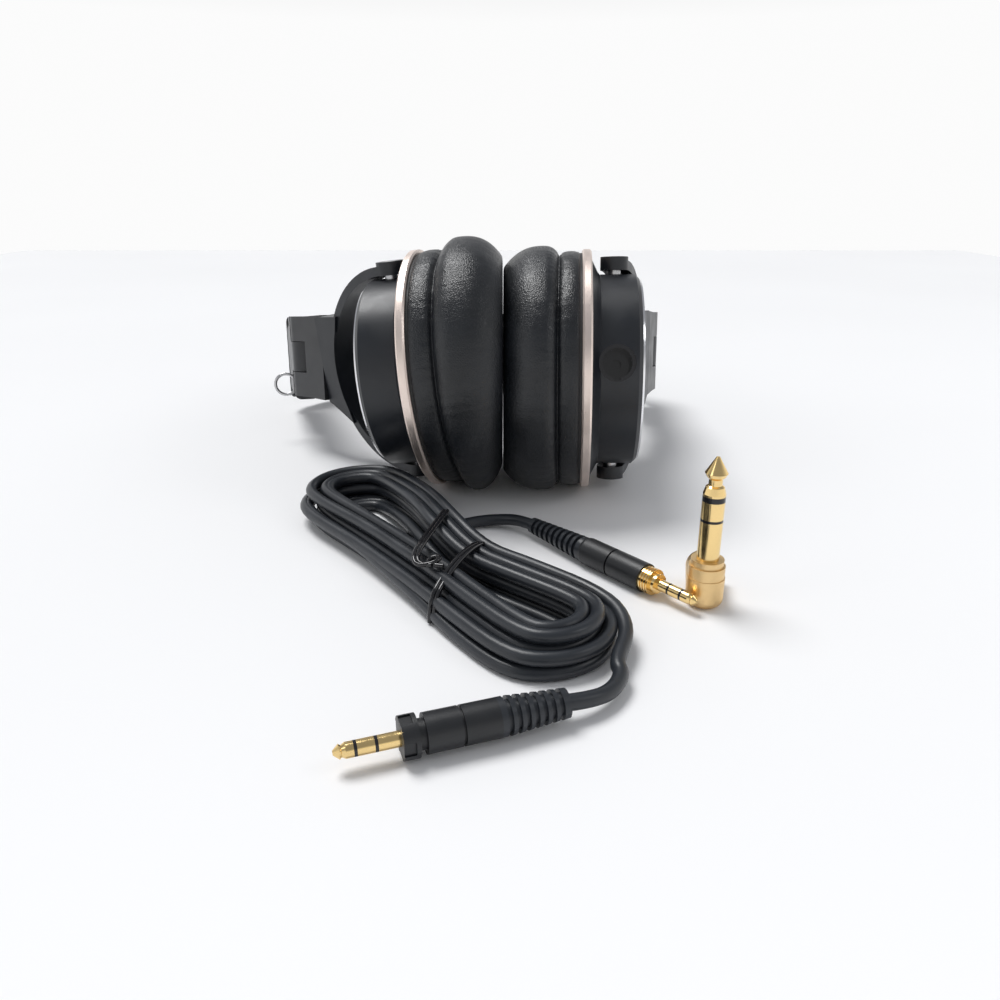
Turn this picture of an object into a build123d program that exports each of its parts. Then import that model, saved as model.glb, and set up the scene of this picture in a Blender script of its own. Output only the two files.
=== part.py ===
from build123d import *
from math import atan2, cos, degrees, hypot, pi, radians, sin, sqrt, tan
import os

# Closed-back studio headphones lying on their edge, pads together, with a loose cable and adapter.
# Millimetres. Row frame: X across the head, +Y from the cups towards the crown, +Z up.

# --- driving dimensions: cup ---
RING_R = 45.5            # trim ring, outside
RING_T = 3.4             # trim ring, thickness along the cup axis
HOUSING_R = 36.2         # back housing, outside
HOUSING_DEPTH = 17.8     # from the trim ring to the outer face
WALL = 2.2               # plastic wall
FLANGE_T = 2.4           # stepped flange between ring and housing
PIVOT_OUT = 10.5         # from the middle of the ring to the yoke pivot axis
PAD_R = 44.6             # ear pad, outside
PAD_HOLE_R = 26.0        # ear opening
PAD_PLATE = 1.2          # carrier behind the pad
PAD_GAP = 0.3            # between the two pads where they meet
DRIVER_R = 20.0          # driver basket
MAGNET_R = 13.0
SOCKET_R = 5.2           # recess for the locking plug
SOCKET_WALL = 1.3
SOCKET_DEPTH = 13.0
SOCKET_FLOOR = 4.5       # with the plug's contact hole in it
SOCKET_TURN = 8.5        # round the cup from straight away from the headband, degrees

# --- driving dimensions: yoke and hinge ---
YOKE_GAP = 1.4           # between the housing and the inside of the yoke
YOKE_T = 3.5             # thickness of the yoke's arms
LUG_T = 4.9              # thickness of the lugs at their ends
YOKE_W = 10.5            # width of the yoke's arms
STEM = 68.0              # from the cup's pivot axis to the fold pin
KNUCKLE_R = 6.5          # half thickness of the hinge block, and radius round the pin
KNUCKLE_H = 17.5         # half height of the hinge blocks
KNUCKLE_UP = 4.0         # their middle, above the stem's
TONGUE_H = 6.5           # half height of the middle knuckle
FORK_L = 21.0            # length of the lower block, from the yoke to the pin
HINGE_L = 23.0           # length of the upper block beyond the pin
PIN_R = 1.8
SCREW_R = 2.5
RUN = 0.05               # radial running clearance of pins and screws
SIDE = 0.3               # clearance between faces that move past each other
SWING = 1.8              # room for the knuckle's corners as the hinge folds
SWIVEL_R = 3.0           # pin on which the hinge block turns
SWIVEL_L = 10.0

# --- driving dimensions: headband ---
HINGE_X = 77.2           # fold pin, from the middle plane
HINGE_Y = 62.1           # fold pin, beyond the right cup's pivot axis
CROWN_Y = 172.0          # middle of the band at the crown
SHOULDER_R = 11.0        # radius of the band's two shoulders
BAND_W = 42.0            # width of the headband cover
COVER_T = 3.6
SPRING_T = 1.2
SPRING_W = 20.0
CUSHION_T = 11.0
CUSHION_FROM = 50.0      # where the crown cushion starts, round the crown arc, degrees
CUSHION_W = 38.0
GUIDE_L = 38.0           # slider guide at each end of the band
GUIDE_T = 12.0
GUIDE_W = 36.0
SLIDER_T = 1.6
SLIDER_W = 18.0
SLIDER_L = 36.0          # inside the guide
SEAT = 8.0               # inside the hinge block
TRAVEL = 28.0
END_SPLAY = 12.0         # lean of the band's ends, from the middle plane, degrees
STEM_SPLAY = 24.0        # lean of a fully opened stem, degrees

# --- pose at rest, degrees; the left hinge lies partly folded ---
SIDES = {"left": -1, "right": 1}
FOLD = {"left": 18.9, "right": 0.0}
SWIVEL = {"left": -8.6, "right": 0.0}
CUP_TURN = {"left": -12.15, "right": -9.15}
YAW, TILT, ROLL = 4.45, 8.1, 0.0
MEET_X = 6.8             # plane where the pads meet

# --- driving dimensions: cable, plugs and adapter ---
CABLE_D = 4.0
HANK_H = 14.0            # three layers of the cable
TIE_W = 2.2
TIE_T = 0.8
PIN_D = 3.5              # contact pins of both plugs
GRIP_R = 4.45
COLLAR_R = 4.8           # locking collar
ADAPTER_D = 6.35
ADAPTER_R = 5.4          # base of the adapter
ADAPTER_H = 45.0

RING_X = -PIVOT_OUT
RING_OUT = RING_X + RING_T / 2
RING_IN = RING_X - RING_T / 2
FACE_X = RING_OUT + HOUSING_DEPTH
PAD_X = RING_IN - 2.4    # back of the pad's carrier
YOKE_R = HOUSING_R + YOKE_GAP
GUIDE_Y = HINGE_L + SIDE
BAND_Y = GUIDE_Y + GUIDE_L
FROM_BASE = (Align.CENTER, Align.CENTER, Align.MIN)
SOCKET_AT = Rot(-SOCKET_TURN, 0, 0) * Rot(90, 0, 0)


def turned(points):
    """A solid of revolution about X from (x, radius) points."""
    return revolve(make_face(Polyline(*points, close=True)), Axis.X, 360)


def tube_x(x0, x1, outer, inner=0.0):
    """A cylinder or tube along X."""
    solid = Pos((x0 + x1) / 2, 0, 0) * Rot(0, 90, 0) * Cylinder(outer, x1 - x0)
    if inner:
        solid -= Pos((x0 + x1) / 2, 0, 0) * Rot(0, 90, 0) * Cylinder(inner, x1 - x0 + 2)
    return solid


def bar(x, y, z):
    """A box between two corners, each given as (low, high)."""
    middle = Pos(*[(a + b) / 2 for a, b in (x, y, z)])
    return middle * Box(x[1] - x[0], y[1] - y[0], z[1] - z[0])


def rims(shape, x, radius):
    """The circular edges of a turned shape at one place."""
    def here(e):
        return abs(e.center(CenterOf.MASS).X - x) < 0.01 and abs(e.radius - radius) < 0.01
    return [e for e in shape.edges().filter_by(GeomType.CIRCLE) if here(e)]


# --- the cup, in its own frame: X outward, Y towards the headband, Z along the pivot axis ---
def trim_ring():
    ring = tube_x(RING_IN, RING_OUT, RING_R, RING_R - 5.0)
    return chamfer(rims(ring, RING_IN, RING_R) + rims(ring, RING_OUT, RING_R), 0.6)


def cup_housing(with_socket):
    step = RING_R - 3.2
    shell = turned([
        (RING_OUT, step), (RING_OUT + FLANGE_T, HOUSING_R + 1.2), (RING_OUT + FLANGE_T + 0.8, HOUSING_R),
        (FACE_X - 1.4, HOUSING_R), (FACE_X, HOUSING_R - 1.4), (FACE_X, HOUSING_R - WALL - 2.0),
        (FACE_X - 2.0, HOUSING_R - WALL - 2.0), (FACE_X - 2.0, HOUSING_R - WALL),
        (RING_OUT + 2.0, HOUSING_R - WALL), (RING_OUT, RING_R - 6.5),
    ])
    for side in (1, -1):
        boss = Pos(0, 0, side * (HOUSING_R - 5.0)) * Cylinder(SCREW_R + 2.6, 9.0)
        shell += boss & tube_x(RING_OUT, FACE_X - 2.0, HOUSING_R - 0.2)
        shell -= Pos(0, 0, side * (HOUSING_R - 5.0)) * Cylinder(SCREW_R, 20.0)
    if with_socket:
        shell -= SOCKET_AT * Pos(0, 0, HOUSING_R) * Cylinder(SOCKET_R + SOCKET_WALL, 14.0)
    return shell


def accent_ring():
    return turned([
        (FACE_X, HOUSING_R - 1.6), (FACE_X + 0.7, HOUSING_R - 1.9),
        (FACE_X + 0.7, HOUSING_R - 3.4), (FACE_X, HOUSING_R - 3.4),
    ])


def cup_cap():
    edge = HOUSING_R - WALL - 2.0
    return turned([
        (FACE_X - 2.0, 0), (FACE_X - 2.0, edge), (FACE_X - 0.2, edge), (FACE_X + 0.5, edge - 1.2),
        (FACE_X + 0.9, edge - 8.0), (FACE_X + 1.1, 0),
    ])


def baffle():
    plate = tube_x(PAD_X, RING_IN, RING_R - 1.4, DRIVER_R - 2.0)
    rim = tube_x(RING_IN, RING_OUT, RING_R - 5.0, RING_R - 6.5)
    return plate + rim


def driver_basket():
    flange = tube_x(RING_IN, RING_IN + 1.6, DRIVER_R + 2.5, DRIVER_R - 2.0)
    cone = turned([
        (RING_IN + 1.6, DRIVER_R + 1.0), (RING_IN + 7.0, MAGNET_R + 2.0), (RING_IN + 8.5, MAGNET_R + 2.0),
        (RING_IN + 8.5, 4.0), (RING_IN + 7.0, 4.0), (RING_IN + 1.6, DRIVER_R - 2.0),
    ])
    return flange + cone


def driver_magnet():
    return tube_x(RING_IN + 8.5, RING_IN + 13.5, MAGNET_R, 4.0)


def diaphragm():
    return tube_x(RING_IN - 0.6, RING_IN, DRIVER_R - 2.2)


def pad_carrier():
    return tube_x(PAD_X - PAD_PLATE, PAD_X, PAD_R - 2.0, PAD_HOLE_R + 1.0)


def dust_screen():
    return tube_x(PAD_X - PAD_PLATE, PAD_X, PAD_HOLE_R + 0.7)


def pivot_screws():
    inner, outer = HOUSING_R - 6.0, YOKE_R + LUG_T
    screw = Pos(0, 0, inner) * Cylinder(SCREW_R, outer - inner, align=FROM_BASE)
    return screw + Rot(180, 0, 0) * screw


def jack_socket():
    """Locking socket in the cup's side: a tube with a stepped bore and a key slot."""
    wall = SOCKET_R + SOCKET_WALL
    top = sqrt(HOUSING_R**2 - wall**2)
    outer = Cylinder(wall, SOCKET_DEPTH, align=FROM_BASE)
    bore = Pos(0, 0, SOCKET_FLOOR) * Cylinder(SOCKET_R, SOCKET_DEPTH, align=FROM_BASE)
    key = bar((-1.2, 1.2), (-wall, 0), (SOCKET_FLOOR, SOCKET_DEPTH))
    key &= Cylinder(SOCKET_R + 0.7, 3 * SOCKET_DEPTH)
    contact = Pos(0, 0, 1.5) * Cylinder(PIN_D / 2 + 0.1, SOCKET_FLOOR, align=FROM_BASE)
    return SOCKET_AT * Pos(0, 0, top - SOCKET_DEPTH) * (outer - bore - key - contact)


# --- the yoke, in its own frame: Z along the pivot axis, Y along the stem to the fold pin ---
SIDE_VIEW = Plane(origin=(0, 0, 0), x_dir=(0, 1, 0), z_dir=(1, 0, 0))


def yoke():
    outer = YOKE_R + YOKE_T
    low, high = KNUCKLE_UP - KNUCKLE_H, KNUCKLE_UP + KNUCKLE_H
    root = STEM - FORK_L - SIDE
    flare = high + 1.0
    start = sqrt(outer**2 - flare**2) - 2.5
    arms = Circle(outer) - Circle(YOKE_R) - Pos(-outer, 0) * Rectangle(2 * outer, 3 * outer)
    web = make_face(Polyline(
        (YOKE_R - 1.0, -8), (start, -flare), (root - 3.0, low - 2.0), (root, low - 0.6),
        (root, high + 0.6), (root - 3.0, high + 1.0), (start, flare), (YOKE_R - 1.0, 8),
        close=True)) - Circle(YOKE_R)
    body = SIDE_VIEW * extrude(arms, YOKE_W / 2, both=True)
    body += SIDE_VIEW * extrude(web, KNUCKLE_R, both=True)
    for side in (1, -1):
        body += Pos(0, 0, side * (YOKE_R + LUG_T / 2)) * Cylinder(YOKE_W / 2, LUG_T)
    body += Pos(0, root - 1.0, 0) * Rot(-90, 0, 0) * Cylinder(SWIVEL_R, SWIVEL_L + 1.0, align=FROM_BASE)
    return body - Cylinder(SCREW_R + RUN, 3 * outer)


# --- the hinge's two blocks: fold pin on Z, Y away from the cup ---
def hinge_fork():
    """The lower block: two cheeks round the pin, and a bore in its end for the yoke's swivel pin."""
    root = -FORK_L
    shoulder = -KNUCKLE_R - SWING
    outline = make_face(Polyline(
        (root, -KNUCKLE_H - 0.6), (shoulder, -KNUCKLE_H), (shoulder, KNUCKLE_H), (root, KNUCKLE_H + 0.6),
        close=True))
    body = SIDE_VIEW * extrude(outline, KNUCKLE_R, both=True)
    for up in (1, -1):
        low, high = sorted((up * (TONGUE_H + SIDE), up * KNUCKLE_H))
        body += bar((-KNUCKLE_R, KNUCKLE_R), (shoulder - 1.0, 0), (low, high))
        body += Pos(0, 0, (low + high) / 2) * Cylinder(KNUCKLE_R, high - low)
    body = Pos(0, 0, KNUCKLE_UP) * (body - Cylinder(PIN_R + RUN, 4 * KNUCKLE_H))
    bore = Cylinder(SWIVEL_R + RUN, SWIVEL_L + 2 * SIDE, align=FROM_BASE)
    return body - Pos(0, root, 0) * Rot(-90, 0, 0) * bore


def hinge_block():
    """The upper block: a tongue on the pin, and a socket for the slider in its far end."""
    outline = make_face(Polyline(
        (KNUCKLE_R + SWING, -KNUCKLE_H), (KNUCKLE_R + SWING, KNUCKLE_H), (HINGE_L, KNUCKLE_H - 1.0),
        (HINGE_L, -KNUCKLE_H + 10.0), (HINGE_L - 7.0, -KNUCKLE_H + 0.5), close=True))
    body = SIDE_VIEW * extrude(outline, KNUCKLE_R, both=True)
    body += bar((-KNUCKLE_R, KNUCKLE_R), (0, KNUCKLE_R + SWING + 1.0), (-TONGUE_H, TONGUE_H))
    body += Cylinder(KNUCKLE_R, 2 * TONGUE_H)
    body = Pos(0, 0, KNUCKLE_UP) * (body - Cylinder(PIN_R, 4 * KNUCKLE_H))
    seat = bar((-SLIDER_T / 2, SLIDER_T / 2), (HINGE_L - SEAT, HINGE_L + 1), (-SLIDER_W / 2, SLIDER_W / 2))
    return body - seat


def hinge_pin():
    return Pos(0, 0, KNUCKLE_UP) * Cylinder(PIN_R, 2 * KNUCKLE_H)


def hinge_wire():
    """A loop of wire that leaves the block's outer face, low down, and goes back in."""
    centre = (KNUCKLE_R + 3.3, HINGE_L - 8.0, KNUCKLE_UP - KNUCKLE_H + 3.8)
    path = Plane(origin=centre, x_dir=(1, 0, 0), z_dir=(0, -1, 0)) * CenterArc((0, 0), 4.8, -140, 280)
    return sweep(Plane(path @ 0, z_dir=path % 0) * Circle(0.7), path)


# --- sliders and guides: fold pin at the origin, Y along the end of the band ---
def slider():
    length = (HINGE_L - SEAT, GUIDE_Y + SLIDER_L)
    strip = bar((-SLIDER_T / 2, SLIDER_T / 2), length, (-SLIDER_W / 2, SLIDER_W / 2))
    for n in range(5):
        strip -= Pos(0, GUIDE_Y + 6.0 + n * 6.0, 0) * Rot(0, 90, 0) * Cylinder(1.4, 3 * SLIDER_T)
    return strip


def slider_guide():
    half = GUIDE_T / 2
    body = bar((-half, half), (GUIDE_Y, BAND_Y), (-GUIDE_W / 2, GUIDE_W / 2))
    body = fillet(body.edges().filter_by(Axis.Y), 3.5)
    body -= bar((-SLIDER_T / 2 - SIDE, SLIDER_T / 2 + SIDE), (GUIDE_Y - 1, BAND_Y - 1.0),
                (-SLIDER_W / 2 - SIDE, SLIDER_W / 2 + SIDE))
    return body - bar((SPRING_X[0], SPRING_X[1]), (BAND_Y - 12.0, BAND_Y + 1), (-SPRING_W / 2, SPRING_W / 2))


# --- the band: straight ends, shoulder arcs and one crown arc, offset outward from a middle line ---
SPRING_X = (GUIDE_T / 2 - 3.0 - SPRING_T, GUIDE_T / 2 - 3.0)
LEAN = radians(END_SPLAY)
END = Vector(HINGE_X + BAND_Y * sin(LEAN), HINGE_Y + BAND_Y * cos(LEAN))
SHOULDER = Vector(END.X - cos(LEAN) * SHOULDER_R, END.Y + sin(LEAN) * SHOULDER_R)
RISE = CROWN_Y - SHOULDER.Y
CROWN_R = (SHOULDER.X**2 + RISE**2 - SHOULDER_R**2) / (2 * (RISE - SHOULDER_R))
CROWN = Vector(0, CROWN_Y - CROWN_R)
JOIN = degrees(atan2(SHOULDER.Y - CROWN.Y, SHOULDER.X - CROWN.X))


def arcs(offset, crown_from=None):
    """The band's line at one offset, from right to left."""
    if crown_from is not None:
        return [CenterArc(tuple(CROWN), CROWN_R + offset, crown_from, 180 - 2 * crown_from)]
    swing = JOIN + END_SPLAY
    right = CenterArc(tuple(SHOULDER), SHOULDER_R + offset, -END_SPLAY, swing)
    crown = CenterArc(tuple(CROWN), CROWN_R + offset, JOIN, 180 - 2 * JOIN)
    left = CenterArc((-SHOULDER.X, SHOULDER.Y), SHOULDER_R + offset, 180 - JOIN, swing)
    return [right, crown, left]


def band(inside, outside, width, crown_from=None, tail=0.0):
    """A strip between two offsets, and as wide as the head's front to back."""
    low, high = arcs(inside, crown_from), arcs(outside, crown_from)
    down = Vector(-sin(LEAN), -cos(LEAN)) * tail
    ends = [low[0] @ 0, high[0] @ 0, high[-1] @ 1, low[-1] @ 1]
    edges = low + high
    if tail:
        other = Vector(-down.X, down.Y)
        edges += [Line(ends[0], ends[0] + down), Line(ends[1], ends[1] + down),
                  Line(ends[2], ends[2] + other), Line(ends[3], ends[3] + other)]
        ends = [ends[0] + down, ends[1] + down, ends[2] + other, ends[3] + other]
    edges += [Line(ends[0], ends[1]), Line(ends[2], ends[3])]
    return extrude(make_face(edges), width / 2, both=True)


def headband_cover():
    return band(SPRING_X[1], SPRING_X[1] + COVER_T, BAND_W)


def spring_band():
    return band(SPRING_X[0], SPRING_X[1], SPRING_W, tail=12.0)


def crown_cushion():
    return band(SPRING_X[0] - CUSHION_T, SPRING_X[0], CUSHION_W, crown_from=CUSHION_FROM)


def ear_pad():
    """Longer than the pad: it is cut where it meets the other one."""
    back = PAD_X - PAD_PLATE
    return tube_x(back - 40.0, back, PAD_R, PAD_HOLE_R)


# --- the cable, in the row frame: its points are chosen by hand ---
HANK = [(-68, -46), (-66, -31), (-57, -22), (-45, -19), (-35, -24), (-25, -39), (-11, -69), (2, -86),
        (15, -95), (25, -104), (30, -118), (30.5, -137), (22, -147.5), (8, -149), (-4, -144), (-12, -132),
        (-20, -116), (-31, -100), (-44, -87), (-57, -69)]
LEAD_JACK = [(-15.2, -53.5, 2.4), (-8.2, -49.5, 2.4), (-0.2, -49.2, 3.0), (7.0, -52.5, 4.2),
             (11.4, -58.0, 4.5)]
LEAD_LOCK = [(29.2, -138.5, 5.0), (29.8, -146.3, 3.6), (26.3, -153.4, 3.4), (20.5, -158.1, 4.4),
             (15.0, -160.0, 5.0)]
TIE_ENDS = ((-7.0, -84.0), (-19.0, -118.0))
ADAPTER_AT = (59.3, -104.8)
CABLE = Pos(15.2, -64.1, 0)


def cable_hank():
    outline = fillet(make_face(Polyline(*HANK, close=True)).vertices(), 4.0)
    body = extrude(outline, HANK_H)
    return chamfer(body.faces().sort_by(Axis.Z)[-1].edges(), 2.5)


def lead(points):
    """A tube along straight runs and the largest arcs that they take."""
    points = [Vector(*p) for p in points]
    radii = []
    for before, at, after in zip(points, points[1:], points[2:]):
        turn = radians((at - before).get_angle(after - at))
        radii.append(0.45 * min((at - before).length, (after - at).length) / tan(turn / 2))
    path = FilletPolyline(*points, radius=radii)
    tube = sweep(Plane(path @ 0, z_dir=path % 0) * Circle(CABLE_D / 2), path)
    print("lead: radii", [round(r, 1) for r in radii], "length", round(path.length, 1),
          "volume", round(tube.volume), "of", round(path.length * pi * CABLE_D**2 / 4))
    return tube


def cable_tie():
    """A wire tie over the hank: down both sides to the floor, with two twisted ends on top."""
    (x0, y0), (x1, y1) = TIE_ENDS
    across = hypot(x1 - x0, y1 - y0) + 2 * TIE_T
    at = Pos((x0 + x1) / 2, (y0 + y1) / 2, 0) * Rot(0, 0, degrees(atan2(y1 - y0, x1 - x0)))
    top = HANK_H + TIE_T
    strap = bar((-across / 2, across / 2), (-TIE_W / 2, TIE_W / 2), (0, top))
    end = bar((-across / 2 + 4.0, 2.0), (TIE_W / 2, 1.5 * TIE_W), (HANK_H, top))
    return at * (strap + end) - cable_hank()


def along(points):
    """Where a plug goes: at the last point of its lead, X on along the plug."""
    x, y, z = points[-1]
    return Pos(x, y, z)


def ribbed(length, start, end, ribs):
    """A tapered strain relief with square ribs, from radius start to end."""
    pitch = length / (ribs + 1)
    points = [(0, 0), (0, start)]
    for n in range(1, ribs + 1):
        radius = start + (end - start) * n / ribs
        points += [(n * pitch - 0.2 * pitch, radius), (n * pitch - 0.2 * pitch, radius - 0.9),
                   (n * pitch + 0.3 * pitch, radius - 0.9), (n * pitch + 0.3 * pitch, radius)]
    return turned(points + [(length, end), (length, 0)])


def pin(start, length):
    tip = start + length
    radius = PIN_D / 2
    return turned([
        (start, 0), (start, radius), (tip - 2.6, radius), (tip - 1.8, radius - 0.45),
        (tip - 1.3, radius - 0.1), (tip, 0.5), (tip, 0),
    ])


def pin_rings(start):
    """Two insulating rings let into a contact pin."""
    radius = PIN_D / 2
    first = tube_x(start, start + 0.7, radius, radius - 0.5)
    return first + Pos(4.4, 0, 0) * first


def plug_jack():
    """The straight plug: relief, two-part grip, threaded collar and pin, from its tail."""
    rings = pin_rings(60.0)
    collar = [(51.0, 0), (51.0, 4.0)]
    for n in range(3):
        collar += [(51.9 + n, 4.0), (51.9 + n, 3.6), (52.3 + n, 3.6), (52.3 + n, 4.0)]
    collar += [(54.6, 4.0), (54.6, 3.0), (56.2, 3.0), (56.2, 0)]
    return {
        "plug_jack_relief": ribbed(26.0, 2.7, 4.0, 9),
        "plug_jack_grip": turned([
            (26.0, 0), (26.0, 4.2), (27.0, GRIP_R), (37.8, GRIP_R), (37.8, GRIP_R - 0.6),
            (38.4, GRIP_R - 0.6), (38.4, GRIP_R), (51.0, GRIP_R), (51.0, 0),
        ]),
        "plug_jack_collar": turned(collar),
        "plug_jack_pin": pin(56.2, 13.8) - rings,
        "plug_jack_rings": rings,
    }


def plug_lock():
    """The locking plug: relief, grip with a groove, a necked bayonet collar with flats, and pin."""
    rings = pin_rings(43.0)
    grip = turned([
        (16.5, 0), (16.5, GRIP_R), (24.6, GRIP_R), (24.6, GRIP_R - 0.6), (25.2, GRIP_R - 0.6),
        (25.2, GRIP_R), (33.0, GRIP_R), (33.0, 3.4), (34.6, 3.4), (34.6, COLLAR_R),
        (38.2, COLLAR_R), (38.2, 0),
    ])
    for turn in (0, 90, 180, 270):
        grip -= Rot(turn, 0, 0) * bar((35.6, 39.0), (-1.6, 1.6), (COLLAR_R - 0.7, COLLAR_R + 1))
    return {
        "plug_lock_relief": ribbed(16.5, 3.4, GRIP_R, 7),
        "plug_lock_grip": grip,
        "plug_lock_pin": pin(38.2, 14.2) - rings,
        "plug_lock_rings": rings,
    }


def adapter():
    """Right-angle adapter standing on its base, plug end up, its socket away from the plugs."""
    radius = ADAPTER_D / 2
    base_top = 14.5
    barrel = Pos(0, 0, ADAPTER_R) * Rot(-90, 0, 0) * Cylinder(ADAPTER_R, 14.0, align=FROM_BASE)
    base = Cylinder(ADAPTER_R, 9.0, align=FROM_BASE)
    base = fillet(base.faces().sort_by(Axis.Z)[0].edges(), 2.5) + barrel
    base += Pos(0, 0, 9.0) * Cylinder(ADAPTER_R - 0.2, 3.6, align=FROM_BASE)
    base += Pos(0, 0, 12.6) * Cylinder(ADAPTER_R - 0.7, base_top - 12.6, align=FROM_BASE)
    base -= Pos(0, 3.0, ADAPTER_R) * Rot(-90, 0, 0) * Cylinder(PIN_D / 2 + 0.1, 14.0, align=FROM_BASE)
    stand = Rot(0, -90, 0)
    rings = stand * (tube_x(26.2, 27.0, radius, radius - 0.6) + tube_x(32.2, 33.8, radius, radius - 0.6))
    shaft = stand * turned([
        (base_top, 0), (base_top, radius), (34.4, radius), (36.4, radius - 0.6), (36.9, 1.9),
        (38.6, 1.9), (39.4, radius - 0.5), (40.4, radius), (ADAPTER_H, 0.5), (ADAPTER_H, 0),
    ])
    return {"adapter_body": base, "adapter_shaft": shaft - rings, "adapter_rings": rings}


# --- placing: every frame in turn, from the band to the cup ---
def frames(side):
    s = SIDES[side]
    pin = Pos(s * HINGE_X, HINGE_Y, 0)
    guide = pin * Rot(0, 0, -s * END_SPLAY)
    fork = guide * Rot(0, 0, -s * (STEM_SPLAY - END_SPLAY) + FOLD[side])
    stem = fork * Pos(0, -STEM, 0) * Rot(0, SWIVEL[side], 0)
    cup = stem * Rot(0, 0, CUP_TURN[side] + s * STEM_SPLAY - FOLD[side])
    return {"guide": guide, "fork": fork, "stem": stem, "cup": cup}


def sided(shape, side):
    return shape if side == "right" else mirror(shape, about=Plane.YZ)


TABLE = Rot(0, 0, YAW) * Rot(-TILT, 0, 0) * Rot(0, -ROLL, 0)


def headphones():
    nodes = {
        "headband_cover": TABLE * headband_cover(),
        "spring_band": TABLE * spring_band(),
        "crown_cushion": TABLE * crown_cushion(),
    }
    for side, s in SIDES.items():
        pieces = {
            "guide": {"slider_guide": slider_guide(), "slider": slider(), "hinge_block": hinge_block(),
                      "hinge_pin": hinge_pin()},
            "fork": {"hinge_fork": hinge_fork()},
            "stem": {"yoke": yoke()},
            "cup": {"pivot_screws": pivot_screws(), "cup_housing": cup_housing(side == "right"),
                    "accent_ring": accent_ring(), "cup_cap": cup_cap(), "trim_ring": trim_ring(),
                    "baffle": baffle(), "driver_basket": driver_basket(), "driver_magnet": driver_magnet(),
                    "diaphragm": diaphragm(), "dust_screen": dust_screen(), "pad_carrier": pad_carrier(),
                    "ear_pad": ear_pad()},
        }
        if side == "right":
            pieces["cup"]["jack_socket"] = jack_socket()
        else:
            pieces["guide"]["hinge_wire"] = hinge_wire()
        for frame, at in frames(side).items():
            for name, shape in pieces[frame].items():
                label = name if name == "jack_socket" else f"{name}_{side}"
                nodes[label] = TABLE * at * sided(shape, side)
        reach = 2 * RING_R
        low, high = sorted((MEET_X + s * PAD_GAP / 2, MEET_X + s * reach))
        nodes[f"ear_pad_{side}"] &= bar((low, high), (-reach, reach), (-reach, reach))
    box = Compound(list(nodes.values())).bounding_box()
    home = Pos(-box.center().X, -box.center().Y, -box.min.Z)
    return {name: home * shape for name, shape in nodes.items()}


def cable():
    nodes = {"cable_hank": cable_hank(), "cable_lead_jack": lead(LEAD_JACK),
             "cable_lead_lock": lead(LEAD_LOCK), "cable_tie": cable_tie()}
    for pieces, at in ((plug_jack(), along(LEAD_JACK) * Rot(0, 0, -51.0)),
                       (plug_lock(), along(LEAD_LOCK) * Rot(0, 0, 199.1)),
                       (adapter(), Pos(*ADAPTER_AT, 0) * Rot(0, 0, -12.0))):
        for name, shape in pieces.items():
            nodes[name] = at * shape
    return {name: CABLE * shape for name, shape in nodes.items()}


if __name__ == "__main__":
    os.makedirs("parts", exist_ok=True)
    for name, shape in {**headphones(), **cable()}.items():
        export_step(shape, f"parts/{name}.step")
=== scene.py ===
from math import cos, pi, radians, sin

import bpy
import numpy as np
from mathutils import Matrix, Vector, noise


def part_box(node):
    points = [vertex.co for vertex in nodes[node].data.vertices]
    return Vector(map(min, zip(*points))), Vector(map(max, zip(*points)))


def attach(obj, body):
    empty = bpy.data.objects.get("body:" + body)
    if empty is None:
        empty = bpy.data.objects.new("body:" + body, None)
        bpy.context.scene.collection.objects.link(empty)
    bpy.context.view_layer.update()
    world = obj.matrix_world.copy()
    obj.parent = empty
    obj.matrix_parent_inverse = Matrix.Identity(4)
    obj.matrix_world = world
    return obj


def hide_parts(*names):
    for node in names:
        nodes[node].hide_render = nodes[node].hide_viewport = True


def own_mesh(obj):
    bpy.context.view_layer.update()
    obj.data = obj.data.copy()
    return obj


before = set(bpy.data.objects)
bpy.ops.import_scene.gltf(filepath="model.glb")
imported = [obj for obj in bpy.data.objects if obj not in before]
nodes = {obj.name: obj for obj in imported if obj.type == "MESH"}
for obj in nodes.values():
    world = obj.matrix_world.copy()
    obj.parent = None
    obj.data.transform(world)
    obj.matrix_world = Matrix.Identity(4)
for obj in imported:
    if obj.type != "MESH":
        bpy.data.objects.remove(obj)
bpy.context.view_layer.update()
SIDES = {"left": -1, "right": 1}


# --- camera ---
def camera():
    data = bpy.data.cameras.new("camera")
    data.sensor_width = 36.0
    data.lens = 28.8
    data.clip_start = 0.01
    eye = bpy.data.objects.new("camera", data)
    bpy.context.collection.objects.link(eye)
    eye.location = (0.0152, -0.3751, 0.114)
    eye.rotation_euler = (radians(90 - 21.6), 0, 0)
    bpy.context.scene.camera = eye


camera()


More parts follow.
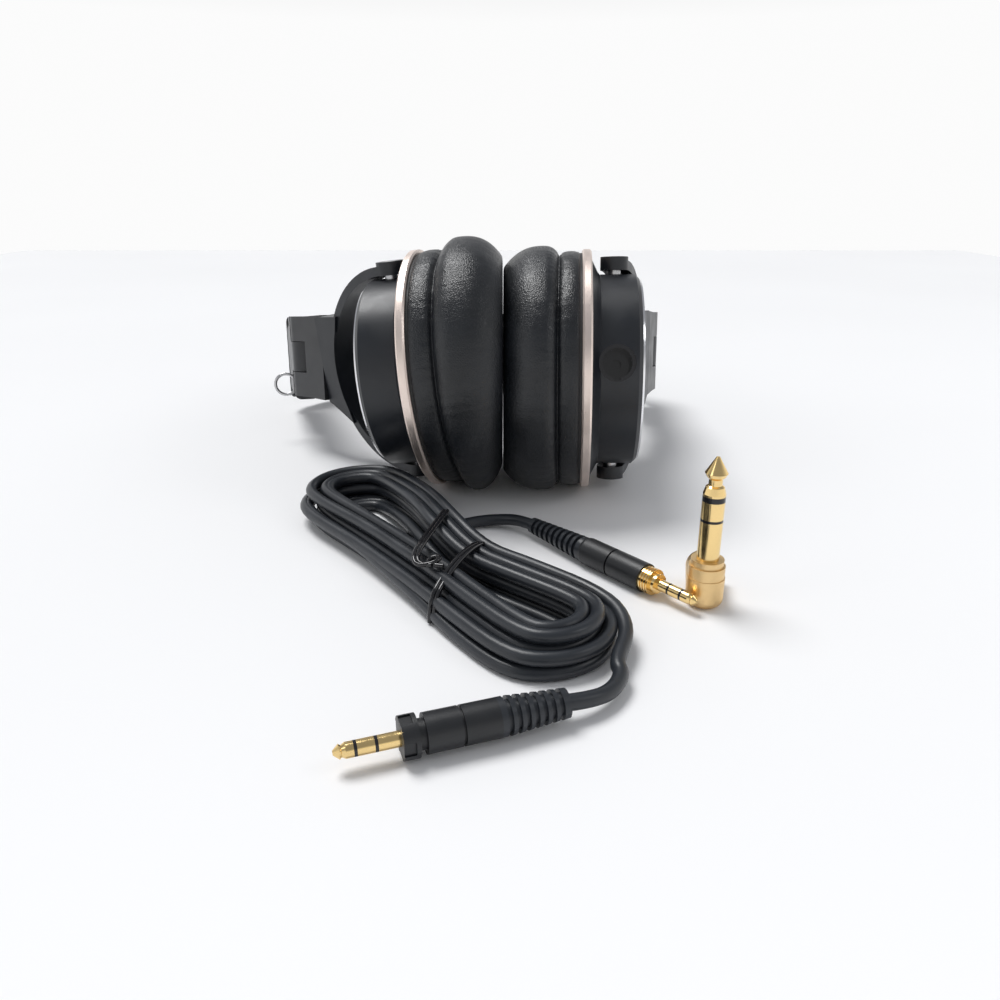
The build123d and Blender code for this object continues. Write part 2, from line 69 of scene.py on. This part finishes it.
# --- material building blocks ---
class Shade:
    """One node material: a principled shader with helpers that build what feeds it."""

    def __init__(self, name, color, rough, metal=0.0, spec=0.5, sheen=0.0):
        self.mat = bpy.data.materials.new(name)
        self.mat.use_nodes = True
        self.tree = self.mat.node_tree
        self.main = self.tree.nodes["Principled BSDF"]
        self.main.inputs["Base Color"].default_value = (*color, 1)
        self.main.inputs["Roughness"].default_value = rough
        self.main.inputs["Metallic"].default_value = metal
        self.main.inputs["Specular IOR Level"].default_value = spec
        self.main.inputs["Sheen Weight"].default_value = sheen
        self.main.inputs["Sheen Roughness"].default_value = 0.4
        self.color = color
        self.place = self.tree.nodes.new("ShaderNodeTexCoord").outputs["Object"]
        self.height = None

    def node(self, kind, **inputs):
        made = self.tree.nodes.new(kind)
        for key, value in inputs.items():
            socket = made.inputs[key.replace("_", " ")]
            if isinstance(value, bpy.types.NodeSocket):
                self.tree.links.new(value, socket)
            else:
                socket.default_value = value
        return made

    def stretched(self, x, y, z):
        made = self.node("ShaderNodeMapping", Vector=self.place)
        made.inputs["Scale"].default_value = (x, y, z)
        return made.outputs["Vector"]

    def noise(self, scale, detail=4.0, at=None):
        made = self.node("ShaderNodeTexNoise", Vector=at or self.place, Scale=scale, Detail=detail)
        return made.outputs["Fac"]

    def cells(self, scale):
        made = self.node("ShaderNodeTexVoronoi", Vector=self.place, Scale=scale)
        made.feature = "DISTANCE_TO_EDGE"
        return made.outputs["Distance"]

    def ranged(self, value, low, high, start=0.0, stop=1.0):
        made = self.node("ShaderNodeMapRange", Value=value)
        made.inputs["From Min"].default_value = start
        made.inputs["From Max"].default_value = stop
        made.inputs["To Min"].default_value = low
        made.inputs["To Max"].default_value = high
        return made.outputs["Result"]

    def rough(self, value, low, high, start=0.3, stop=0.7):
        self.tree.links.new(self.ranged(value, low, high, start, stop), self.main.inputs["Roughness"])

    def tint(self, value, dark, light, start=0.3, stop=0.7):
        ramp = self.tree.nodes.new("ShaderNodeValToRGB")
        ramp.color_ramp.elements[0].position = start
        ramp.color_ramp.elements[1].position = stop
        ramp.color_ramp.elements[0].color = (*[c * dark for c in self.color], 1)
        ramp.color_ramp.elements[1].color = (*[min(1, c * light) for c in self.color], 1)
        self.tree.links.new(value, ramp.inputs["Fac"])
        self.tree.links.new(ramp.outputs["Color"], self.main.inputs["Base Color"])

    def bump(self, value, depth, strength=1.0):
        """depth in metres; bumps stack in the order they are added."""
        made = self.node("ShaderNodeBump", Height=value, Strength=strength, Distance=depth)
        if self.height:
            self.tree.links.new(self.height, made.inputs["Normal"])
        self.height = made.outputs["Normal"]
        self.tree.links.new(self.height, self.main.inputs["Normal"])


def leather():
    s = Shade("leather", (0.0075, 0.0090, 0.0115), 0.34, spec=0.5)
    grain = s.cells(1300)
    fine = s.noise(2600, 3)
    creases = s.noise(520, 4, s.stretched(0.22, 1, 1))
    s.bump(s.ranged(grain, 0, 1, 0.0, 0.35), 0.00010, 0.6)
    s.bump(fine, 0.00003, 0.4)
    s.bump(creases, 0.00035, 0.30)
    s.tint(s.noise(60, 4), 0.75, 1.35)
    s.rough(s.noise(180, 4), 0.28, 0.40)
    return s.mat


def plastic(name, color, rough, grain=3200, depth=0.00003):
    s = Shade(name, color, rough)
    s.bump(s.noise(grain, 3), depth, 0.6)
    s.tint(s.noise(45, 5), 0.85, 1.2)
    s.rough(s.noise(120, 5), rough * 0.85, rough * 1.2)
    return s.mat


def metal(name, color, rough, grain=900, stretch=(1, 1, 1), depth=0.00001):
    s = Shade(name, color, rough, metal=1.0)
    brushed = s.noise(grain, 4, s.stretched(*stretch))
    s.bump(brushed, depth, 0.5)
    s.tint(s.noise(90, 4), 0.9, 1.06)
    s.rough(brushed, rough * 0.75, rough * 1.35)
    return s.mat


def rubber():
    s = Shade("cable_rubber", (0.016, 0.019, 0.024), 0.36, spec=0.5)
    s.bump(s.noise(1500, 4), 0.00005, 0.5)
    s.tint(s.noise(35, 5), 0.8, 1.35)
    s.rough(s.noise(70, 5), 0.30, 0.44)
    return s.mat


def cloth():
    s = Shade("screen_cloth", (0.02, 0.02, 0.02), 0.85, sheen=0.3)
    weave = s.node("ShaderNodeTexWave", Vector=s.place, Scale=900.0).outputs["Fac"]
    s.bump(weave, 0.0001, 0.7)
    s.tint(weave, 0.6, 1.5)
    return s.mat


LEATHER = leather()
SHELL = plastic("shell_plastic", (0.009, 0.011, 0.015), 0.38)
CAP = plastic("cap_plastic", (0.009, 0.010, 0.013), 0.32)
HINGE = plastic("hinge_plastic", (0.020, 0.021, 0.024), 0.36)
INNER = plastic("inner_plastic", (0.02, 0.02, 0.02), 0.6)
GLOSS = plastic("gloss_plastic", (0.010, 0.010, 0.012), 0.10, grain=400, depth=0.00001)
GRIP = plastic("plug_plastic", (0.009, 0.010, 0.012), 0.42, grain=2400, depth=0.00006)
STEEL = metal("steel", (0.55, 0.55, 0.56), 0.3, stretch=(1, 1, 12))
TRIM = metal("trim_metal", (0.86, 0.74, 0.67), 0.36, grain=2600, depth=0.000004)
ACCENT = metal("accent_metal", (0.82, 0.82, 0.84), 0.16)
GOLD = metal("gold", (0.90, 0.66, 0.30), 0.16, grain=500)
BRUSHED_GOLD = metal("brushed_gold", (0.84, 0.60, 0.30), 0.36, grain=700, stretch=(1, 1, 14), depth=0.00004)
RUBBER = rubber()
CLOTH = cloth()

FINISH = {
    "trim_ring": TRIM, "accent_ring": ACCENT, "cup_cap": CAP, "cup_housing": SHELL, "yoke": SHELL,
    "hinge_block": HINGE, "hinge_fork": HINGE, "slider_guide": HINGE, "slider": STEEL, "hinge_pin": STEEL,
    "hinge_wire": STEEL, "pivot_screws": STEEL, "spring_band": STEEL, "baffle": INNER,
    "driver_basket": INNER, "pad_carrier": INNER, "driver_magnet": STEEL, "diaphragm": GLOSS,
    "dust_screen": CLOTH, "jack_socket": GLOSS, "plug_jack_relief": RUBBER, "plug_lock_relief": RUBBER,
    "plug_jack_grip": GRIP, "plug_lock_grip": GRIP, "plug_jack_collar": GOLD, "plug_jack_pin": GOLD,
    "plug_lock_pin": GOLD, "adapter_shaft": GOLD, "adapter_body": BRUSHED_GOLD, "plug_jack_rings": GLOSS,
    "plug_lock_rings": GLOSS, "adapter_rings": GLOSS,
}


def finish_nodes():
    for name, piece in nodes.items():
        key = name.removesuffix("_left").removesuffix("_right")
        if key in FINISH:
            piece.data.materials.clear()
            piece.data.materials.append(FINISH[key])


finish_nodes()


# --- making pieces ---
def new_piece(name, vertices, faces, material, body):
    mesh = bpy.data.meshes.new(name)
    mesh.from_pydata([tuple(v) for v in vertices], [], faces)
    mesh.update()
    mesh.materials.append(material)
    mesh.polygons.foreach_set("use_smooth", [True] * len(mesh.polygons))
    piece = bpy.data.objects.new(name, mesh)
    bpy.context.collection.objects.link(piece)
    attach(piece, body)
    return piece


def ring_faces(rows, columns):
    """The faces of a grid that closes on itself both ways."""
    faces = []
    for i in range(rows):
        for j in range(columns):
            a, b = (i + 1) % rows, (j + 1) % columns
            faces.append((i * columns + j, a * columns + j, a * columns + b, i * columns + b))
    return faces


def wire(name, points, radius, material):
    """A round wire or cable along smoothed points, which stays with the headband."""
    curve = bpy.data.curves.new(name, "CURVE")
    curve.dimensions = "3D"
    curve.bevel_depth = 1.0
    curve.bevel_resolution = 5
    curve.resolution_u = 6
    curve.use_fill_caps = True
    spline = curve.splines.new("NURBS")
    spline.points.add(len(points) - 1)
    for point, place in zip(spline.points, points):
        point.co = (*place, 1)
        point.radius = radius
    spline.order_u = 3
    spline.use_endpoint_u = True
    curve.materials.append(material)
    piece = bpy.data.objects.new(name, curve)
    bpy.context.collection.objects.link(piece)
    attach(piece, "headband")
    return piece


# --- the cable: its points are in millimetres, in the cable's own frame ---
CABLE_SHIFT = Vector((0.0152, -0.0641, 0))      # from that frame to the part's, in metres
CABLE_D = 0.004
LIE = 2.05               # height of the cable's middle where it lies on the floor
LEAD_JACK = [(11.4, -58.0, 4.5), (7.0, -52.5, 4.2), (-0.2, -49.2, 3.0), (-8.2, -49.5, 2.4),
             (-15.2, -53.5, 2.2)]
UNDER = [(-23.5, 18.0), (-25.5, 9.5), (-31.0, 4.0)]      # along and across the hank, under its turns
LEAD_LOCK = [(29.8, -146.3, 3.6), (26.3, -153.4, 3.4), (20.5, -158.1, 4.4), (15.0, -160.0, 5.0)]
HANK_MIDDLE = Vector((-18.5, -88.5))
HANK_ANGLE = radians(-44.4)
LAYER = 4.08             # rise from one layer of turns to the next
COLUMN = 4.15            # step from one turn to the next one outside it
LEFT_MIDDLE = (-53.0, 12.5)
LEFT_R = 9.0
RIGHT_MIDDLE = (45.5, -6.0)
RIGHT_R = 7.8
WAIST = {-30: (6.5, 5.5), -9: (0.5, 2.6), 10: (-3.0, 2.1), 27: (-4.5, 4.3)}     # along: (middle, half width)
OVER_LEAD = (-30, -9)    # where the far side lies over the hidden lead
SLOTS = [(0, 0), (1, 0), (2, 0), (3, 0), (3, 1), (2, 1), (1, 1), (1, 2), (2, 2)]


def in_hank(u, v, z):
    """From along and across the hank to the table, in millimetres."""
    x = HANK_MIDDLE.x + u * cos(HANK_ANGLE) - v * sin(HANK_ANGLE)
    y = HANK_MIDDLE.y + u * sin(HANK_ANGLE) + v * cos(HANK_ANGLE)
    return (x, y, z)


def station(place, column, layer, lift=0.0):
    """One control point of a turn: at an angle of an end loop, or on a side of the straight part."""
    kind, value = place
    column = column - 0.3 * min(layer, 1.5)
    z = LIE + LAYER * layer + lift
    if kind == "left":
        radius = LEFT_R + (4.4 + 0.5 * layer) * column
        middle = (LEFT_MIDDLE[0] - 3.0 * layer, LEFT_MIDDLE[1] + 0.8 * layer)
        return in_hank(middle[0] + radius * cos(value), middle[1] + radius * sin(value), z)
    if kind == "right":
        radius = RIGHT_R + 4.2 * column
        middle = (RIGHT_MIDDLE[0] + 1.5 * layer, RIGHT_MIDDLE[1])
        return in_hank(middle[0] + radius * cos(value), middle[1] + radius * sin(value), z)
    side = 1 if kind == "far" else -1
    middle, half = WAIST[value]
    return in_hank(value, middle + side * (half + COLUMN * column), z)


def hank_turns():
    """About nine and a half turns, from the middle outward and back in layers."""
    left = [("left", radians(a)) for a in range(252, 107, -36)]
    far = [("far", u) for u in WAIST]
    right = [("right", radians(a)) for a in range(72, -73, -36)]
    near = [("near", u) for u in reversed(WAIST)]
    points = []
    before = SLOTS[0]
    for turn, slot in enumerate(SLOTS):
        following = SLOTS[min(turn + 1, len(SLOTS) - 1)]
        for n, place in enumerate(left):
            share = (n + 1) / 6
            points.append(station(place, before[0] + (slot[0] - before[0]) * share, slot[1]))
        for place in far:
            lift = LAYER if place[1] in OVER_LEAD else 0.0
            points.append(station(place, *slot, lift=lift))
        points += [station(place, *slot) for place in right]
        for n, place in enumerate(near):
            layer = slot[1] + (following[1] - slot[1]) * (n / 3)
            points.append(station(place, slot[0], layer))
        before = slot
    for n, place in enumerate(left):
        points.append(station(place, 2 + (n + 1) / 6, 2))
    for place, column, layer in ((far[0], 3, 2), (far[1], 3, 2), (far[2], 3, 2), (far[3], 3.2, 2),
                                 (right[0], 3.6, 1.6), (right[1], 4.0, 0.9), (right[2], 4.3, 0.6)):
        lift = LAYER if place[1] in OVER_LEAD else 0.0
        points.append(station(place, column, layer, lift))
    return points


def cable():
    under = [in_hank(u, v, LIE) for u, v in UNDER]
    points = LEAD_JACK + under + hank_turns() + LEAD_LOCK
    points = [Vector(p) / 1000 + CABLE_SHIFT for p in points]
    piece = wire("cable", points, CABLE_D / 2, RUBBER)
    piece.data.resolution_u = 5
    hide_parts("cable_hank", "cable_lead_jack", "cable_lead_lock")
    shape = bpy.data.meshes.new_from_object(without_bevel(piece))


def without_bevel(piece):
    bare = piece.copy()
    bare.data = piece.data.copy()
    bare.data.bevel_depth = 0
    return bare


cable()


# --- the wire tie round the hank's waist: along, across and up from the floor, in millimetres ---
TIE_R = 0.0007


def tie_wire(name, points, along=0.0, across=0.0):
    places = [Vector(in_hank(u + along, v + across, z)) / 1000 + CABLE_SHIFT for u, v, z in points]
    return wire(name, places, TIE_R, GLOSS)


def cable_tie():
    over = [(5.6, 15.2, 0.7), (5.8, 15.0, 6.5), (7.4, 11.5, 10.8), (10.4, 4.0, 13.4), (13.6, -5.0, 13.4),
            (16.6, -13.5, 11.4), (18.8, -19.4, 8.6), (19.4, -21.2, 4.0), (19.2, -21.0, 0.7)]
    first = tie_wire("tie_band_a", over)
    tie_wire("tie_band_b", over, along=1.25, across=0.5)
    end = [(-9.5, 10.5, 16.6), (-4.0, 1.0, 16.2), (1.5, -8.5, 15.6), (5.0, -14.5, 14.6), (8.5, -16.8, 13.2),
           (12.0, -15.0, 13.8), (13.2, -11.5, 14.6), (11.0, -9.6, 14.4), (9.0, -12.0, 13.8),
           (11.4, -14.6, 13.4), (15.4, -12.2, 13.6)]
    tie_wire("tie_end_a", end)
    tie_wire("tie_end_b", end[:6], along=0.9, across=0.7)
    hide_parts("cable_tie")


cable_tie()


# --- soft parts ---
def cup_axis(side):
    """Centre of a cup's trim ring, the way towards the other cup, and two directions across it."""
    points = np.array([v.co for v in nodes[f"trim_ring_{side}"].data.vertices])
    centre = (points.min(axis=0) + points.max(axis=0)) / 2
    spread = np.linalg.eigh(np.cov((points - points.mean(axis=0)).T))[1][:, 0]
    inward = Vector(spread) * (-SIDES[side] if spread[0] > 0 else SIDES[side])
    depth = max((Vector(p) - Vector(centre)).dot(inward) for p in points)
    up = (Vector((0, 0, 1)) - inward * inward.z).normalized()
    return Vector(centre), inward, up, inward.cross(up), depth


PAD_COLUMNS = 240
PAD_STITCHES = 96
PAD_RISE = 0.0436        # radius just past the seam
OUTSIDE = range(4, 32)   # rows of the profile that show creases
FLOOR_GAP = 0.0004
PAD_SHAPE = {"left": {"peak": 0.0484, "end": 0.0395, "seam": 0.0092, "at": 0.30},
             "right": {"peak": 0.0468, "end": 0.0390, "seam": 0.0084, "at": 0.27}}


def pad_profile(shape):
    """(part, along, radius) from the pad's back, over its outside, to the ear opening.

    On the back, along is in metres. On the front, it is a share of the way from the seam to the other pad.
    """
    seam = shape["seam"]
    points = [("back", 0.0002, 0.0425), ("back", 0.0004, 0.0438), ("back", 0.0014, 0.0446),
              ("back", 0.45 * seam, 0.0450), ("back", seam - 0.0018, 0.0447), ("back", seam - 0.0007, 0.0440),
              ("back", seam, 0.0430), ("back", seam + 0.0003, 0.0432)]
    peak, at = shape["peak"], shape["at"]
    for n in range(1, 25):
        f = n / 24
        if f < at:
            radius = peak - (peak - PAD_RISE) * (1 - f / at) ** 2.4
        else:
            radius = peak - (peak - shape["end"]) * ((f - at) / (1 - at)) ** 2.6
        points.append(("front", f, radius))
    points += [("front", 1.0, 0.0372), ("front", 1.0, 0.0340), ("front", 0.99, 0.0310),
               ("front", 0.94, 0.0285), ("front", 0.80, 0.0268), ("front", 0.55, 0.0262),
               ("back", 0.0060, 0.0262), ("back", 0.0016, 0.0268), ("back", 0.0004, 0.0280)]
    return points


def ear_pad(side):
    """A ring of leather: a narrow band, a stitched seam, and a full front that is flat at the other pad."""
    centre, inward, up, across, face = cup_axis(side)
    shape = PAD_SHAPE[side]
    lowest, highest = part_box(f"ear_pad_{side}")
    meet = highest[0] if side == "left" else lowest[0]
    profile = pad_profile(shape)
    vertices = []
    for n, (part, along, radius) in enumerate(profile):
        for j in range(PAD_COLUMNS):
            turn = 2 * pi * j / PAD_COLUMNS
            out = up * cos(turn) + across * sin(turn)
            start = centre + inward * face + out * radius
            reach = (meet - start.x) / inward.x
            depth = along if part == "back" else shape["seam"] + (reach - shape["seam"]) * along
            place = start + inward * min(depth, reach)
            near_seam = max(0.0, 1 - abs(depth - shape["seam"]) / 0.007)
            fold = noise.noise(Vector((cos(turn) * 26, sin(turn) * 26, depth * 60)))
            soft = noise.noise(Vector((cos(turn) * 3.1, sin(turn) * 3.1, depth * 40 + 7)))
            pucker = sin(turn * PAD_STITCHES) * 0.00013 * near_seam
            if n in OUTSIDE:
                place += out * (0.00022 * fold * (0.35 + near_seam) + 0.0006 * soft + pucker)
            place.z = max(place.z, FLOOR_GAP)
            vertices.append(place)
    faces = ring_faces(len(profile), PAD_COLUMNS)
    piece = new_piece(f"pad_{side}", vertices, faces, LEATHER, f"cup_{side}")
    detail = piece.modifiers.new("smooth", "SUBSURF")
    detail.levels = 1
    detail.render_levels = 1
    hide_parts(f"ear_pad_{side}")
    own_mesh(piece)


for side in SIDES:
    ear_pad(side)


def soft_copy(name, node, voxel, rounds):
    """A rounded copy of a soft CAD solid: evenly meshed, with its corners worn down."""
    mesh = nodes[node].data.copy()
    piece = bpy.data.objects.new(name, mesh)
    bpy.context.collection.objects.link(piece)
    mesh.materials.clear()
    mesh.materials.append(LEATHER)
    cut = piece.modifiers.new("cut", "REMESH")
    cut.mode = "VOXEL"
    cut.voxel_size = voxel
    cut.use_smooth_shade = True
    worn = piece.modifiers.new("worn", "SMOOTH")
    worn.factor = 0.5
    worn.iterations = rounds
    bpy.context.view_layer.update()
    shaped = bpy.data.meshes.new_from_object(piece.evaluated_get(bpy.context.evaluated_depsgraph_get()))
    piece.modifiers.clear()
    piece.data = shaped
    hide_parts(node)
    return piece


def puff(piece, pressure=4.0, frames=20, cap=0.004):
    """Blows the piece up as cloth, keeps each point within the cap, and leaves the result as its mesh."""
    rest = [v.co.copy() for v in piece.data.vertices]
    blown = piece.modifiers.new("cloth", "CLOTH")
    settings = blown.settings
    settings.use_pressure = True
    settings.uniform_pressure_force = pressure
    settings.effector_weights.gravity = 0
    scene = bpy.context.scene
    for n in range(1, frames + 1):
        scene.frame_set(n)
    shaped = bpy.data.meshes.new_from_object(piece.evaluated_get(bpy.context.evaluated_depsgraph_get()))
    scene.frame_set(1)
    piece.modifiers.remove(blown)
    for vertex, start in zip(shaped.vertices, rest):
        move = vertex.co - start
        if move.length > cap:
            vertex.co = start + move * (cap / move.length)
    piece.data = shaped


def crown_cushion():
    piece = soft_copy("cushion", "crown_cushion", voxel=0.0035, rounds=12)
    puff(piece)
    detail = piece.modifiers.new("smooth", "SUBSURF")
    detail.levels = detail.render_levels = 1
    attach(piece, "headband")


def headband_cover():
    piece = soft_copy("cover", "headband_cover", voxel=0.0011, rounds=14)
    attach(piece, "headband")


crown_cushion()
headband_cover()


# --- floor and light ---
def floor():
    bpy.ops.mesh.primitive_plane_add(size=1.7, location=(0, 0.3, 0))
    made = bpy.context.object
    made.name = "floor"
    s = Shade("floor", (0.91, 0.91, 0.915), 0.6, spec=0.1)
    s.tint(s.noise(3, 2), 0.99, 1.01)
    made.data.materials.append(s.mat)


def lamp(kind, name, place, at, size, power):
    data = bpy.data.lights.new(name, kind)
    data.energy = power
    if kind == "SUN":
        data.angle = size
    else:
        data.size = size
    made = bpy.data.objects.new(name, data)
    made.location = place
    made.rotation_euler = (Vector(at) - Vector(place)).to_track_quat("-Z", "Y").to_euler()
    bpy.context.collection.objects.link(made)


def sky():
    """White round the horizon and dimmer overhead."""
    world = bpy.data.worlds.new("sky")
    world.use_nodes = True
    tree = world.node_tree
    height = tree.nodes.new("ShaderNodeSeparateXYZ")
    tree.links.new(tree.nodes.new("ShaderNodeTexCoord").outputs["Generated"], height.inputs["Vector"])
    ramp = tree.nodes.new("ShaderNodeValToRGB")
    ramp.color_ramp.elements[0].position = 0.16
    ramp.color_ramp.elements[0].color = (0.97, 0.97, 0.97, 1)
    ramp.color_ramp.elements[1].position = 0.5
    ramp.color_ramp.elements[1].color = (0.33, 0.34, 0.36, 1)
    tree.links.new(height.outputs["Z"], ramp.inputs["Fac"])
    tree.links.new(ramp.outputs["Color"], tree.nodes["Background"].inputs["Color"])
    bpy.context.scene.world = world


def studio():
    floor()
    sky()
    bpy.context.scene.view_settings.view_transform = "Standard"
    lamp("SUN", "key", (-0.35, 0.35, 1.0), (0, 0, 0), radians(28), 2.15)
    lamp("AREA", "left", (-0.8, -0.5, 0.6), (0, -0.05, 0.03), 0.3, 0.5)
    lamp("AREA", "right", (0.7, -0.3, 0.6), (0, -0.05, 0.03), 0.25, 0.5)


studio()
